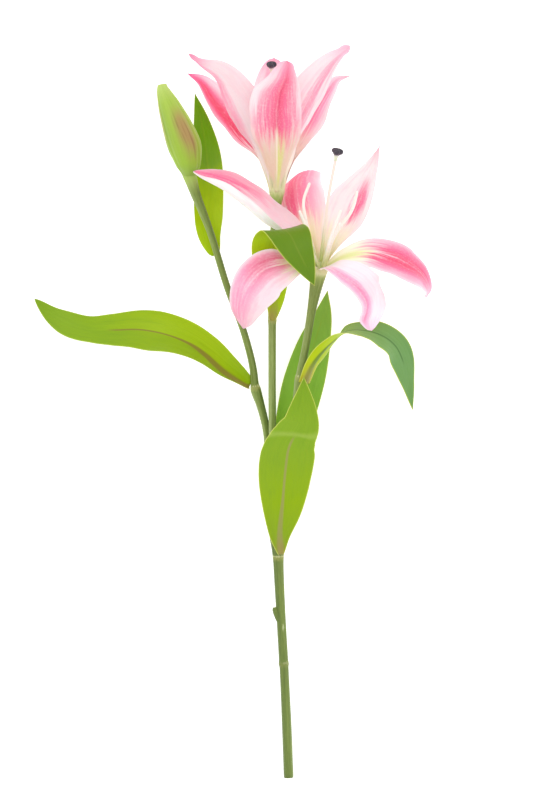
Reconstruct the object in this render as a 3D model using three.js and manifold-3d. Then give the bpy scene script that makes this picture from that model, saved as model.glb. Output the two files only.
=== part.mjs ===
// A cut lily lying on a flat surface: one stem that divides into three stalks, which carry two open
// blooms and a closed bud, and six leaves.
//
// Millimetres. X runs across the stem, Y from the cut end towards the blooms, and Z up from the surface.
// The lily rests on the cut end, on the tips of the long leaf and the right leaf, and on the back tepal of
// each bloom.

import * as THREE from 'three';
import { mergeVertices } from 'three/addons/utils/BufferGeometryUtils.js';
import Module from 'manifold-3d';

const wasm = await Module();
wasm.setup();

// ---- Driving dimensions

const GAP = 0.3; // clearance between pieces that touch

const STEM_SIDES = 10;
const STALK_SIDES = 8;
const STEPS_BETWEEN_POINTS = 2; // along a stem, from one of its points to the next

const BLADE_ROWS = 12; // along a tepal or a leaf
const LEAF_ROWS = 16;
const BLADE_COLUMNS = 6; // across it
const LEAF_THICKNESS = 1.1;
const TEPAL_THICKNESS = 1.2;
const BLUNT_TIP = 0.5; // half the width of a blade at its very tip, unless blunt gives it
const USUAL_RISE = 1.3; // how slowly a blade widens from its base
const FLAT = 1e-3; // the cup, in radians, of a blade with none

const FILAMENT_RADIUS = 1.2;
const STYLE_RADIUS = 1.2;
const ROUND_SIDES = 6; // of a filament or a style
const FILAMENT_STEPS = 6; // along it
const STYLE_STEPS = 8;
// Distances past the end of the style, with the radius there.
const STIGMA_PROFILE = [[GAP, 1.5], [4, 2.1], [6.6, 3.8], [9.8, 2.6]];

// ---- Materials

function finish(color, roughness) {
  return new THREE.MeshStandardMaterial({ color, roughness, metalness: 0 });
}

const STEM_GREEN = finish(0x82965a, 0.55);
const LEAF_GREEN = finish(0x8cb432, 0.45);
const BUD_GREEN = finish(0xa5c846, 0.5);
const TEPAL_PINK = finish(0xf7a8c0, 0.6);
const FILAMENT_CREAM = finish(0xf0e1d7, 0.6);
const STIGMA_DARK = finish(0x3c3741, 0.8);

// ---- Stem and stalks: points [x, y, z, radius], from the lower end to the upper

const STEM_POINTS = [
  [9, 0, 4.3, 3.9],
  [7.2, 48, 8.3, 3.8],
  [5.2, 92, 12, 3.6],
  [5, 95, 12.3, 4.3],
  [4.8, 98, 12.5, 3.7],
  [2, 146, 16.6, 3.8],
  [0.5, 178, 19.5, 4.2],
  [0.2, 190, 20.6, 5.2],
  [0.2, 200, 21.6, 7.1],
  [0.2, 205, 22.2, 7.3],
  [0.2, 207.5, 22.5, 6.8],
];

const STUB_POINTS = [
  [1.4, 129, 15.6, 1.7],
  [-1.2, 136, 16.6, 2.2],
  [-2.3, 140, 17.1, 2.3],
  [-2.7, 142, 17.3, 1.5],
];

const STALKS = {
  bud_stalk: [
    [-3.2, 208.2, 19.4, 2.9],
    [-7.4, 247, 22.4, 2.9],
    [-9, 286, 25, 3],
    [-14, 308, 28, 3.3],
    [-18, 321, 30.5, 4.4],
    [-19, 326, 31.2, 3.4],
    [-20.5, 340, 32.6, 2.9],
    [-28, 369, 34.4, 2.8],
    [-41, 404, 36.6, 2.7],
    [-56, 452, 40, 2.8],
    [-67.6, 482, 43.2, 4],
    [-71.5, 494.5, 44.5, 5.6],
  ],
  upper_bloom_stalk: [
    [0.2, 208.2, 26, 2.9],
    [-3.5, 255, 29.5, 3],
    [-4.6, 313, 33, 3],
    [-4.7, 374, 37, 3.1],
    [-4.7, 378, 37.4, 3.6],
    [-4.6, 388, 38.4, 3.2],
    [-4.2, 436, 42.5, 3],
    [-2, 466, 45, 3.3],
    [-1.2, 479, 46, 5.6],
    [-1, 483.2, 46.4, 6.6],
  ],
  lower_bloom_stalk: [
    [3.6, 208.6, 19.2, 2.9],
    [10.4, 256, 28.6, 3.1],
    [15.5, 313, 38.5, 3.2],
    [17.6, 330, 40.8, 4],
    [18.4, 335, 41.4, 3.3],
    [23, 359, 45, 3],
    [27, 384, 51, 3.4],
    [30.5, 404, 58, 5],
    [32.6, 416, 64, 6.8],
    [33.1, 418.6, 65.6, 7.2],
  ],
};

const BUD_POINTS = [
  [-72, 495.8, 44.7, 5.4],
  [-72.6, 503.5, 45.8, 9.8],
  [-75.2, 517, 48, 13.6],
  [-78.4, 526, 48.8, 13.4],
  [-83.2, 538.5, 49.5, 11.7],
  [-89, 553, 50, 8.8],
  [-93.4, 564.5, 50, 5.2],
  [-94.3, 569.3, 50, 3.6],
];
const BUD_SIDES = 12;
const BUD_RIBS = 3; // the three outer tepals
const BUD_RIB_HEIGHT = 0.07; // of the radius

// ---- Leaves
// spine: points along the midrib, from the base. faces: where the upper side looks, spread evenly from base
// to tip. width: at its widest place, which is at the fraction widest of the length. base: the width at the
// base as a fraction. rise: how slowly it widens from there. point: how quickly the tip closes. trim: what
// the width is multiplied by, spread evenly from base to tip. shift: how far the sheet lies to one side of
// its spine, spread likewise. blunt: half the width of a tip that is not pointed. cup: degrees that each half
// curls towards the upper side, spread likewise.

const LEAVES = {
  long_leaf: {
    spine: [
      [-24.9, 325, 34.3], [-43, 338, 39.5], [-59, 350.5, 42], [-74, 359.5, 42.5], [-92, 366.5, 39.5],
      [-113, 370.5, 33], [-136, 370.5, 24], [-163, 372.5, 12], [-185, 382, 4], [-202, 397, 0.9],
    ],
    faces: [[0.38, 0.65, 0.64], [0.3, 0.5, 0.8], [0, 0.2, 1], [0, 0.2, 1], [0, 0.2, 1]],
    width: 37, base: 0.3, rise: 0.5, widest: 0.4, point: 0.7,
    trim: [1, 1, 1, 0.97, 0.86, 0.8, 1.04, 1], cup: [50, 40, 16, 12, 10],
  },
  front_leaf: {
    spine: [
      [2.4, 188, 27.2], [1.6, 204, 33], [4, 232, 42.5], [6, 256, 50.5], [9, 276, 57.5], [13, 285, 60],
      [17.4, 293, 59.5], [20, 306, 56.5], [21, 332, 51],
    ],
    faces: [[0, -0.3, 1], [0, -0.3, 1], [0, -0.2, 1], [0.3, 0.1, 1], [0.2, 0.2, 1]],
    width: 44, base: 0.12, rise: 0.9, widest: 0.52, point: 1,
    trim: [1, 1, 1, 1, 1.04, 0.94, 1, 1], shift: [0, 0, 0, 0, 0, 1.2, 0, 0], cup: [60, 16, 8],
  },
  back_leaf: {
    spine: [
      [2, 208, 13.2], [5, 239, 11], [9, 272, 12.5], [16, 306, 16.5], [23, 334, 19.5], [31, 363, 21],
      [37, 382, 20], [41, 403, 16],
    ],
    faces: [[0, 0, 1]], width: 34, base: 0.2, widest: 0.6, point: 0.9, cup: [20, 10, 6],
  },
  right_leaf: {
    spine: [
      [22.6, 328, 43.6], [29, 343, 49.5], [43, 359.5, 54], [56, 368.5, 56], [71, 369, 53.5], [85, 365, 46],
      [96, 357, 35], [103, 344, 23], [108, 325, 10], [112, 305, 0.9],
    ],
    faces: [
      [-0.5, 0.4, -0.75], [-0.5, 0.55, -0.7], [-0.3, 0.9, -0.3], [0, 0.85, 0.5], [0.1, 0.4, 0.9],
      [0.2, 0.25, 0.95], [0.3, 0.2, 0.95], [0.4, 0.3, 0.85], [0.5, 0.3, 0.8],
    ],
    width: 24, base: 0.5, widest: 0.62, point: 0.9, cup: [30, 10, 6],
  },
  folded_leaf: {
    spine: [
      [-4.4, 379.6, 42], [-2.4, 394, 48], [-3, 417, 61], [-4, 434, 70], [2, 449, 80], [9, 445, 92],
      [16, 431, 98], [22, 419, 98], [29, 404, 93],
    ],
    faces: [[0, 0.2, -1], [0, 0.2, -1], [0, 0.4, -1], [-0.2, 1, 0], [-0.1, 0.2, 1], [-0.1, 0.2, 1]],
    width: 36, base: 0.16, rise: 0.9, widest: 0.55, point: 0.9, shift: [0, 0.8, 0.3, 0, 0], cup: [50, 8, 6],
  },
  bud_leaf: {
    spine: [
      [-52, 433, 33.5], [-56, 448, 29], [-57, 469, 25], [-57, 490, 22], [-59, 519, 21], [-63, 543, 25],
      [-68, 564, 31],
    ],
    faces: [[0, 0, 1]], width: 26, base: 0.2, rise: 0.55, widest: 0.45, point: 0.9,
    trim: [1, 1.04, 0.94, 1, 1, 1], cup: [20, 12, 8],
  },
};

// ---- Tepals, given as the leaves are; the upper side is the one that looks into the bloom

const UPPER_TEPALS = {
  upper_front: {
    spine: [[-1, 484.3, 53], [-1, 513, 68], [-1.5, 541, 86], [0, 563, 99], [3, 582, 107.5]],
    faces: [[0, 0, -1]], width: 45, base: 0.14, widest: 0.58, point: 0.6, blunt: 6.5,
    trim: [1, 1, 1, 1, 1, 1, 1, 0.85, 0.9], shift: [0, 0, 0, 0, 0, 1, 1, -3, -4], cup: [60, 35, 25],
  },
  upper_back: {
    spine: [[-1, 484.3, 41.6], [-3, 515, 31], [-4, 556, 14.5], [-4, 582, 5], [-3, 597, 1]],
    faces: [[0, 0, 1]], width: 36, base: 0.14, widest: 0.62, point: 0.5, cup: [40, 10, 8],
  },
  upper_left_front: {
    spine: [
      [-6.2, 484.3, 49.6], [-12, 515, 57.5], [-20, 540, 66], [-32.5, 562, 73], [-45.5, 576.5, 78],
      [-60.5, 583, 80.5], [-71.5, 590, 82],
    ],
    faces: [[0.7, 0, -0.7], [0.4, 0.2, -0.9], [0.35, 0.2, -0.9]],
    width: 28, base: 0.16, widest: 0.55, point: 1.2, blunt: 2,
    trim: [1, 1.1, 1.25, 1.28, 1.2, 1.1, 1, 1, 1], shift: [0, 0.6, 1.8, 2.6, 2.4, 1.5, 0.4, 0, 0],
    cup: [60, 15, 10],
  },
  upper_left_back: {
    spine: [
      [-5.6, 484.3, 44], [-12, 509, 41], [-25, 527.5, 37], [-40.5, 549.5, 33], [-51, 562, 30],
      [-62, 575, 27], [-74, 581.5, 22],
    ],
    faces: [[0.7, 0, 0.7], [0.35, 0.2, 0.9], [0.3, 0.3, 0.9]],
    width: 28, base: 0.16, widest: 0.55, point: 0.9, cup: [50, 10],
  },
  upper_right_front: {
    spine: [
      [4.2, 484.3, 49.6], [8, 514, 57], [13, 538, 66], [22, 558, 72], [32, 574, 76], [41, 585, 79.5],
      [56, 598, 83],
    ],
    faces: [[-0.7, 0, -0.7], [-0.4, 0.2, -0.9], [-0.35, 0.2, -0.9]],
    width: 31, base: 0.16, widest: 0.55, point: 0.85, blunt: 4.2,
    trim: [1, 1, 1, 1, 1, 0.95, 0.95, 1], shift: [0, 0, 0, 0, 0, -0.5, -1, -2], cup: [60, 15, 10],
  },
  upper_right_back: {
    spine: [
      [3.6, 484.3, 44], [10.5, 510, 41], [20.5, 530.5, 37], [32, 552.5, 33], [41, 566.5, 30.5],
      [48.5, 576, 28], [59.8, 579.6, 24],
    ],
    faces: [[-0.7, 0, 0.7], [-0.35, 0.2, 0.9], [-0.3, 0.3, 0.9]],
    width: 27, base: 0.16, widest: 0.55, point: 1.2, cup: [50, 10],
  },
};

const LOWER_TEPALS = {
  lower_left: {
    spine: [
      [28, 424, 66], [20, 438, 58], [6, 450, 56], [-10, 458.5, 57], [-26, 471.5, 58], [-42, 483.5, 58],
      [-54, 490, 58], [-62, 494, 58], [-68.5, 498, 58],
    ],
    faces: [[0.2, 0.3, 0.9], [0.36, 0.6, 0.7], [0.41, 0.7, 0.57], [0.41, 0.7, 0.57], [0.41, 0.7, 0.57]],
    width: 42, base: 0.12, widest: 0.55, point: 0.65, cup: [30, 70, 100, 100, 70],
  },
  lower_back: {
    spine: [
      [32, 426, 63.4], [29, 440, 54], [25, 455, 46], [22, 471, 41], [22, 489, 33], [26, 502, 18],
      [33, 500, 1],
    ],
    faces: [[0, 0.2, 1], [-0.35, 0.2, 1], [-0.3, 0.4, 1], [-0.2, 1, 0.4], [-0.1, 1, -0.2]],
    width: 35, base: 0.14, widest: 0.5, point: 0.6,
    trim: [1, 1, 1, 1.02, 1.1, 1.15, 1.05, 1], shift: [0, 0, 0, -0.5, -2.5, -4, -2, 0],
    cup: [30, 8, -12, -38, -38],
  },
  lower_upper_right: {
    spine: [[38, 425, 65], [47, 452, 66], [57, 472, 60], [67, 489, 52], [76, 506, 46], [83, 520, 46]],
    faces: [[-0.5, 0, 1], [-0.3, 0, 1]], width: 33, base: 0.16, widest: 0.5, point: 1.25,
    trim: [1, 1.2, 1.2, 1.08, 0.92, 0.88, 1], shift: [0, 1.5, 3, 1.6, 1, 1.5, 0], cup: [40, 20, 10],
  },
  lower_right: {
    spine: [
      [40, 421, 70], [51, 427, 75], [70, 430, 80], [88, 427, 82.5], [104, 421, 82], [116, 413, 73],
      [121.5, 403, 63], [120, 396, 56],
    ],
    faces: [[-0.3, 0.4, 0.85], [-0.1, 0.6, 0.8], [0.2, 0.6, 0.7], [0.5, 0.4, 0.7]],
    width: 34, base: 0.14, widest: 0.52, point: 0.75,
    trim: [1, 1, 1, 1, 1.1, 1.15, 1.1, 1, 1], shift: [0, 0, 0, 0.4, 2, 3, 3, 2, 0],
    cup: [40, 20, 10],
  },
  lower_front_right: {
    spine: [
      [35, 418.4, 73.6], [43.5, 420, 91], [53, 417.5, 103], [64.5, 410, 108], [73.5, 399, 105],
      [77, 386.5, 92], [75, 369, 73],
    ],
    faces: [[-0.2, 0.9, 0.2], [0.2, 0.6, 0.8], [0.5, 0.3, 0.8], [0.4, -0.2, 0.9]],
    width: 32, base: 0.14, widest: 0.5, point: 0.5,
    trim: [1, 1, 1, 1, 1.04, 1.08, 1.16, 1.2, 1],
    shift: [0, 0, 0, -0.7, -2.8, -3.2, -1.2, 0.8, 0], cup: [30, -30, -20],
  },
  lower_front_left: {
    spine: [
      [29, 420, 72], [20, 422, 80], [6, 419, 85], [-9, 413, 87], [-20, 401, 84], [-26, 387, 73],
      [-28, 371, 56],
    ],
    faces: [[0.2, 0.9, 0.3], [0, 0.4, 0.9], [-0.3, 0.1, 0.9], [-0.3, -0.2, 0.9]],
    width: 42, base: 0.14, widest: 0.55, point: 0.7,
    trim: [1, 1, 1.05, 1.05, 0.96, 0.94, 1], shift: [0, 0, 1, 1.6, 1.8, 1.3, 0], cup: [40, -15, -20],
  },
};

// ---- Filaments and styles, as points from the throat of the bloom to the tip

const BLOOMS = {
  upper: {
    filaments: [
      [[1.5, 484.3, 48.5], [4, 516, 52], [9, 546, 58]],
      [[-1, 484.3, 49.9], [-1, 517, 56], [0, 548, 64]],
      [[-3.5, 484.3, 48.5], [-7, 516, 52], [-13, 546, 57]],
      [[-3.5, 484.3, 45.5], [-7, 516, 45], [-13, 545, 45]],
      [[-1, 484.3, 44.1], [-1, 517, 43], [-3, 547, 41]],
      [[1.5, 484.3, 45.5], [4, 516, 45], [9, 545, 46]],
    ],
    style: [[-1, 484, 46.8], [-1, 508, 49], [-2, 540, 54], [-5, 576, 67]],
  },
  lower: {
    filaments: [
      [[31.6, 423, 68.2], [25.4, 445, 70], [20.4, 472, 72], [25, 486.5, 75]],
      [[31, 421.5, 70.4], [26, 442, 73], [17.4, 464, 77]],
      [[36.6, 423.4, 68.4], [46, 446, 76], [59, 465, 82], [63, 479, 85]],
      [[37.4, 421.6, 70], [42, 437, 83], [49, 453, 96]],
      [[35.4, 420.2, 71.2], [40.5, 438, 92], [49, 462, 111]],
      [[32.9, 420.3, 71.8], [27, 431, 78], [17, 440, 83]],
    ],
    style: [[34, 421, 67.4], [36.5, 445, 84], [40, 475, 102], [45, 502, 113]],
  },
};

// ---- Geometry helpers

function vector([x, y, z]) {
  return new THREE.Vector3(x, y, z);
}

function smoothCurve(points) {
  return new THREE.CatmullRomCurve3(points.map(vector), false, 'centripetal');
}

/** The value at fraction u of a list that is spread evenly from 0 to 1. */
function along(list, u) {
  const place = u * (list.length - 1);
  const index = Math.min(Math.floor(place), Math.max(list.length - 2, 0));
  const next = list[Math.min(index + 1, list.length - 1)];
  return THREE.MathUtils.lerp(list[index], next, place - index);
}

function directionAlong(list, u) {
  return vector([0, 1, 2].map((axis) => along(list.map((item) => item[axis]), u)));
}

function closedGeometry(positions, triangles) {
  const geometry = new THREE.BufferGeometry();
  geometry.setAttribute('position', new THREE.Float32BufferAttribute(positions, 3));
  geometry.setIndex(triangles);
  return geometry;
}

/** A round rod through points [x, y, z, radius], with flat ends. swell(angle) scales its radius. */
function rodGeometry(points, sides, swell = () => 1) {
  const curve = smoothCurve(points);
  const steps = (points.length - 1) * STEPS_BETWEEN_POINTS;
  const radii = points.map((point) => point[3]);
  const positions = [];
  const triangles = [];
  const across = new THREE.Vector3(0, 0, 1);
  for (let i = 0; i <= steps; i += 1) {
    const centre = curve.getPoint(i / steps);
    const forward = curve.getTangent(i / steps);
    across.addScaledVector(forward, -across.dot(forward)).normalize();
    const other = new THREE.Vector3().crossVectors(forward, across);
    for (let j = 0; j < sides; j += 1) {
      const angle = (2 * Math.PI * j) / sides;
      const radius = along(radii, i / steps) * swell(angle);
      const point = centre.clone();
      point.addScaledVector(across, radius * Math.cos(angle));
      point.addScaledVector(other, radius * Math.sin(angle));
      positions.push(...point);
    }
  }
  for (let i = 0; i < steps; i += 1) {
    for (let j = 0; j < sides; j += 1) {
      const a = i * sides + j;
      const b = i * sides + ((j + 1) % sides);
      triangles.push(a, b, b + sides, a, b + sides, a + sides);
    }
  }
  for (let j = 1; j < sides - 1; j += 1) {
    triangles.push(0, j + 1, j, steps * sides, steps * sides + j, steps * sides + j + 1);
  }
  return closedGeometry(positions, triangles);
}

/** How wide a blade is at fraction u of its length, from 0 to 1. */
function outline({ base, widest, rise = USUAL_RISE, point }, u) {
  if (u < widest) {
    return base + (1 - base) * Math.sin((Math.PI / 2) * (u / widest)) ** rise;
  }
  return Math.cos((Math.PI / 2) * ((u - widest) / (1 - widest))) ** point;
}

/** A leaf or a tepal: a thin cupped sheet along its spine. */
function bladeGeometry(blade, rows, thickness) {
  const curve = smoothCurve(blade.spine);
  const upper = [];
  const lower = [];
  for (let i = 0; i <= rows; i += 1) {
    const u = i / rows;
    const centre = curve.getPointAt(u);
    const forward = curve.getTangentAt(u);
    const face = directionAlong(blade.faces, u);
    face.addScaledVector(forward, -face.dot(forward)).normalize();
    const side = new THREE.Vector3().crossVectors(forward, face);
    const trim = along(blade.trim ?? [1], u);
    const shift = along(blade.shift ?? [0], u);
    const least = (u > blade.widest && blade.blunt) || BLUNT_TIP;
    const half = Math.max(least, (blade.width / 2) * outline(blade, u) * trim);
    const cup = THREE.MathUtils.degToRad(along(blade.cup, u)) || FLAT;
    for (let j = 0; j <= BLADE_COLUMNS; j += 1) {
      const turn = cup * ((2 * j) / BLADE_COLUMNS - 1);
      const middle = centre.clone();
      middle.addScaledVector(side, shift + (half * Math.sin(turn)) / cup);
      middle.addScaledVector(face, (half * (1 - Math.cos(turn))) / cup);
      const normal = face.clone().multiplyScalar(Math.cos(turn)).addScaledVector(side, -Math.sin(turn));
      upper.push(...middle.clone().addScaledVector(normal, thickness / 2));
      lower.push(...middle.clone().addScaledVector(normal, -thickness / 2));
    }
  }
  const width = BLADE_COLUMNS + 1;
  const under = (rows + 1) * width; // where the lower side's vertices start
  const triangles = [];
  const quad = (a, b, c, d) => triangles.push(a, b, c, a, c, d);
  for (let i = 0; i < rows; i += 1) {
    for (let j = 0; j < BLADE_COLUMNS; j += 1) {
      const a = i * width + j;
      quad(a, a + 1, a + width + 1, a + width);
      quad(under + a, under + a + width, under + a + width + 1, under + a + 1);
    }
    const left = i * width;
    const right = left + BLADE_COLUMNS;
    quad(left, left + width, under + left + width, under + left);
    quad(right, under + right, under + right + width, right + width);
  }
  for (let j = 0; j < BLADE_COLUMNS; j += 1) {
    const end = rows * width + j;
    quad(j, under + j, under + j + 1, j + 1);
    quad(end, end + 1, under + end + 1, under + end);
  }
  return closedGeometry([...upper, ...lower], triangles);
}

/** A thin round thread of one thickness along points. */
function threadGeometry(points, radius, steps) {
  const section = new THREE.Shape().absarc(0, 0, radius, 0, 2 * Math.PI);
  return new THREE.ExtrudeGeometry(section, {
    steps,
    curveSegments: ROUND_SIDES,
    bevelEnabled: false,
    extrudePath: smoothCurve(points),
  });
}

function toSolid(geometry) {
  const bare = geometry.clone();
  bare.deleteAttribute('normal');
  bare.deleteAttribute('uv');
  const merged = mergeVertices(bare, 1e-4);
  return new wasm.Manifold(
    new wasm.Mesh({
      numProp: 3,
      vertProperties: new Float32Array(merged.attributes.position.array),
      triVerts: new Uint32Array(merged.index.array),
    }),
  );
}

function fromSolid(solid) {
  const mesh = solid.getMesh();
  return closedGeometry(Array.from(mesh.vertProperties), Array.from(mesh.triVerts));
}

// ---- The lily

const lily = new THREE.Group();

function add(name, geometry, material) {
  const mesh = new THREE.Mesh(geometry, material);
  mesh.name = name;
  lily.add(mesh);
}

function addStem() {
  const stem = toSolid(rodGeometry(STEM_POINTS, STEM_SIDES));
  const stub = toSolid(rodGeometry(STUB_POINTS, STALK_SIDES));
  add('main_stem', fromSolid(stem.add(stub)), STEM_GREEN);
  for (const [name, points] of Object.entries(STALKS)) {
    add(name, rodGeometry(points, STALK_SIDES), STEM_GREEN);
  }
}

function addBud() {
  const ribs = (angle) => 1 + BUD_RIB_HEIGHT * Math.cos(BUD_RIBS * angle);
  add('bud', rodGeometry(BUD_POINTS, BUD_SIDES, ribs), BUD_GREEN);
}

function addLeaves() {
  for (const [name, leaf] of Object.entries(LEAVES)) {
    add(name, bladeGeometry(leaf, LEAF_ROWS, LEAF_THICKNESS), LEAF_GREEN);
  }
}

function addTepals(tepals) {
  for (const [name, tepal] of Object.entries(tepals)) {
    add(`${name}_tepal`, bladeGeometry(tepal, BLADE_ROWS, TEPAL_THICKNESS), TEPAL_PINK);
  }
}

function addFilaments(name, { filaments }) {
  filaments.forEach((points, index) => {
    const geometry = threadGeometry(points, FILAMENT_RADIUS, FILAMENT_STEPS);
    add(`${name}_filament_${index + 1}`, geometry, FILAMENT_CREAM);
  });
}

function addStyle(name, { style }) {
  add(`${name}_style`, threadGeometry(style, STYLE_RADIUS, STYLE_STEPS), FILAMENT_CREAM);
  const end = vector(style.at(-1));
  const way = end.clone().sub(vector(style.at(-2))).normalize();
  const place = (distance, radius) => [...end.clone().addScaledVector(way, distance), radius];
  const head = STIGMA_PROFILE.map(([distance, radius]) => place(distance, radius));
  add(`${name}_stigma`, rodGeometry(head, STALK_SIDES), STIGMA_DARK);
}

/** Moves the lily so that the origin is the middle of its footprint, on the surface it lies on. */
function settle() {
  const box = new THREE.Box3().setFromObject(lily);
  const middle = box.getCenter(new THREE.Vector3());
  lily.position.set(-middle.x, -middle.y, -box.min.z);
}

addStem();
addBud();
addLeaves();
addTepals(UPPER_TEPALS);
addTepals(LOWER_TEPALS);
for (const [name, bloom] of Object.entries(BLOOMS)) {
  addFilaments(name, bloom);
  addStyle(name, bloom);
}
settle();

export default lily;
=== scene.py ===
"""The cut lily lying on a pale floor: stems, leaves, a bud and two open blooms as fine meshes."""

import math
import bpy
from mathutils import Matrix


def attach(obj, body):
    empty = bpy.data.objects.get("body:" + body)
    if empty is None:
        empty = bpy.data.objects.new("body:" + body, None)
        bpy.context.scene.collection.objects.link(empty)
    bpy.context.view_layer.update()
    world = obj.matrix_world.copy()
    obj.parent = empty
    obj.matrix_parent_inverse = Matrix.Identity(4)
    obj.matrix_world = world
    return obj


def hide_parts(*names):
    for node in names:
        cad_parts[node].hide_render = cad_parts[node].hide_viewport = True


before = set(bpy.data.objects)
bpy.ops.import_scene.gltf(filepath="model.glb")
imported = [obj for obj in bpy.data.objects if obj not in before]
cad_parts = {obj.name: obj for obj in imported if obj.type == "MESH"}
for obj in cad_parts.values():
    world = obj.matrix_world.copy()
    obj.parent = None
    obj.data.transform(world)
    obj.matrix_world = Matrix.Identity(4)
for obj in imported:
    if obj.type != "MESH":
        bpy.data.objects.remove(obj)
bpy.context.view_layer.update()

from types import SimpleNamespace

import bpy
import numpy as np

# ---- Measures, in millimetres, with the cut end at Y = 0 as the model has them

SETTLED = np.array([38.97, -299.69, -0.21])  # from these coordinates to the frame's
MM = 0.001
SINK = 1.8  # how far a leaf, a tepal or a thread reaches into what it grows from

LEAF_SEED = 11  # of the waves along the margins, one more for each leaf or tepal
TEPAL_SEED = 31
STIGMA_SEED = 16

BLADE_ROWS = 84  # of faces, along a leaf or tepal
BLADE_COLUMNS = 36  # of faces, across it
EDGE_CROWDING = 0.82  # how much closer the columns lie towards the margins, from 0 to 1
CURVE_SAMPLES = 600  # along a curve whose length is measured
ROUND_SIDES = 40
END_RINGS = (0.9, 0.6, 0.25)  # of the radius, for the rings that close the end of a rod

THICKNESS = 0.9  # of a leaf or tepal, along its middle
VEINS = 7  # from margin to margin
MIDRIB_WIDTH = 1.6  # from its middle to where it has mostly gone
GROOVE = 0.35  # how deep the groove inside a midrib is, as a share of the midrib's height
WAVE_SPACING = 40
CREASE_HEIGHT = 0.9  # of the fold across a leaf
CREASE_REACH = 0.012  # how wide the fold is, as a share of the leaf's length
CREASE_SLANT = 0.045  # how far along the leaf the fold has moved at its margin

STEM_SPANS = 10  # rings of faces from one point of a stem to the next
STEM_LENGTH = 208  # along its middle
CUT_DEPTH = 0.6  # how far the middle of the cut end is sunk
FILAMENT_RADII = (1.5, 1.35, 1.15)  # from base to tip
FILAMENT_TIP = 1.2  # how far past its last point it goes on
TIP_SHARE = 0.45  # of the radius, at the very end of that
STYLE_RADII = (1.5, 1.15, 1.2)
STIGMA_STEPS = [  # distance past the end of the style, radius
    (-0.5, 1.1), (1.5, 1.3), (3.6, 1.9), (5, 2.7), (6.2, 3.5), (7.6, 3.8), (8.8, 3.2), (9.6, 1.4),
]
STIGMA_SIZE = {"upper": 0.88, "lower": 1.0}
STIGMA_GRAINS = 90
GRAIN_HEIGHT = 0.9
GRAIN_DIP = 0.35  # how far the surface between grains is sunk

CAMERA_PLACE = (0.0296, 0.0133, 2.24)  # in metres: straight above, a little off the lily's middle
CAMERA_LENS = 121.3
KEY_WATTS = 17
FILL_WATTS = 7
WORLD_STRENGTH = 1.0
FLOOR_GLOW = 0.5
FLOOR_REACH = 6.0  # from its middle to each side, in metres

# ---- Colours, as 0 to 255 a channel

SCAR = (186, 182, 104)
CRACK = (224, 222, 170)  # in a scar
TORN = (206, 214, 160)
CUT_END = (226, 230, 186)
STEM_TOP = (168, 186, 100)
TEPAL_ROOT = (216, 214, 164)  # where a bloom meets its stalk
LEAF_ROOT = (160, 144, 78)
LEAF_FOLD_HIGHLIGHT = (194, 212, 112)
BUD_LINES = (116, 154, 48)
BUD_SHADE = (120, 156, 50)
BUD_FLUSH = (172, 136, 88)
BUD_GRAIN = (134, 92, 58)
BUD_EDGE = (222, 170, 140)
TEPAL_LINE = (206, 46, 92)
TEPAL_GREEN = (216, 224, 110)
TEPAL_RIDGE = (250, 232, 222)
TEPAL_MARGIN = (250, 228, 232)
TEPAL_SPECKS = (255, 236, 242)
STIGMA_SPECKS = (128, 112, 128)

# ---- Stems and the bud

# Each stem is a list of points along its middle, with the radius there.
STEM = [
    (9, 0, 4.3, 3.9), (7.2, 48, 8.3, 3.8), (5.2, 92, 12, 3.6), (5, 95, 12.3, 4.3), (4.8, 98, 12.5, 3.7),
    (2, 146, 16.6, 3.8), (0.5, 178, 19.5, 4.2), (0.2, 190, 20.6, 5.2), (0.2, 200, 21.6, 7.1),
    (0.2, 205, 22.2, 7.3), (0.2, 207.5, 22.5, 6.8),
]
STUB = [(1.4, 129, 15.6, 1.7), (-1.2, 136, 16.6, 2.2), (-2.3, 140, 17.1, 2.3), (-2.7, 142, 17.3, 1.5)]
STALKS = {
    "bud_stalk": [
        (-3.2, 208.2, 19.4, 2.9), (-7.4, 247, 22.4, 2.9), (-9, 286, 25, 3), (-14, 308, 28, 3.3),
        (-18, 321, 30.5, 4.4), (-19, 326, 31.2, 3.4), (-20.5, 340, 32.6, 2.9), (-28, 369, 34.4, 2.8),
        (-41, 404, 36.6, 2.7), (-56, 452, 40, 2.8), (-67.6, 482, 43.2, 4), (-71.5, 494.5, 44.5, 5.6),
    ],
    "upper_bloom_stalk": [
        (0.2, 208.2, 26, 2.9), (-3.5, 255, 29.5, 3), (-4.6, 313, 33, 3), (-4.7, 374, 37, 3.1),
        (-4.7, 378, 37.4, 3.6), (-4.6, 388, 38.4, 3.2), (-4.2, 436, 42.5, 3), (-2, 466, 45, 3.3),
        (-1.2, 479, 46, 5.6), (-1, 483.2, 46.4, 6.6),
    ],
    "lower_bloom_stalk": [
        (3.6, 208.6, 19.2, 2.9), (10.4, 256, 28.6, 3.1), (15.5, 313, 38.5, 3.2), (17.6, 330, 40.8, 4),
        (18.4, 335, 41.4, 3.3), (23, 359, 45, 3), (27, 384, 51, 3.4), (30.5, 404, 58, 5),
        (32.6, 416, 64, 6.8), (33.1, 418.6, 65.6, 7.2),
    ],
}
BUD = [
    (-72, 495.8, 44.7, 5.4), (-72.6, 503.5, 45.8, 9.8), (-75.2, 517, 48, 13.6), (-78.4, 526, 48.8, 13.4),
    (-83.2, 538.5, 49.5, 11.7), (-89, 553, 50, 8.8), (-93.4, 564.5, 50, 5.2), (-94.3, 569.3, 50, 3.6),
]
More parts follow.
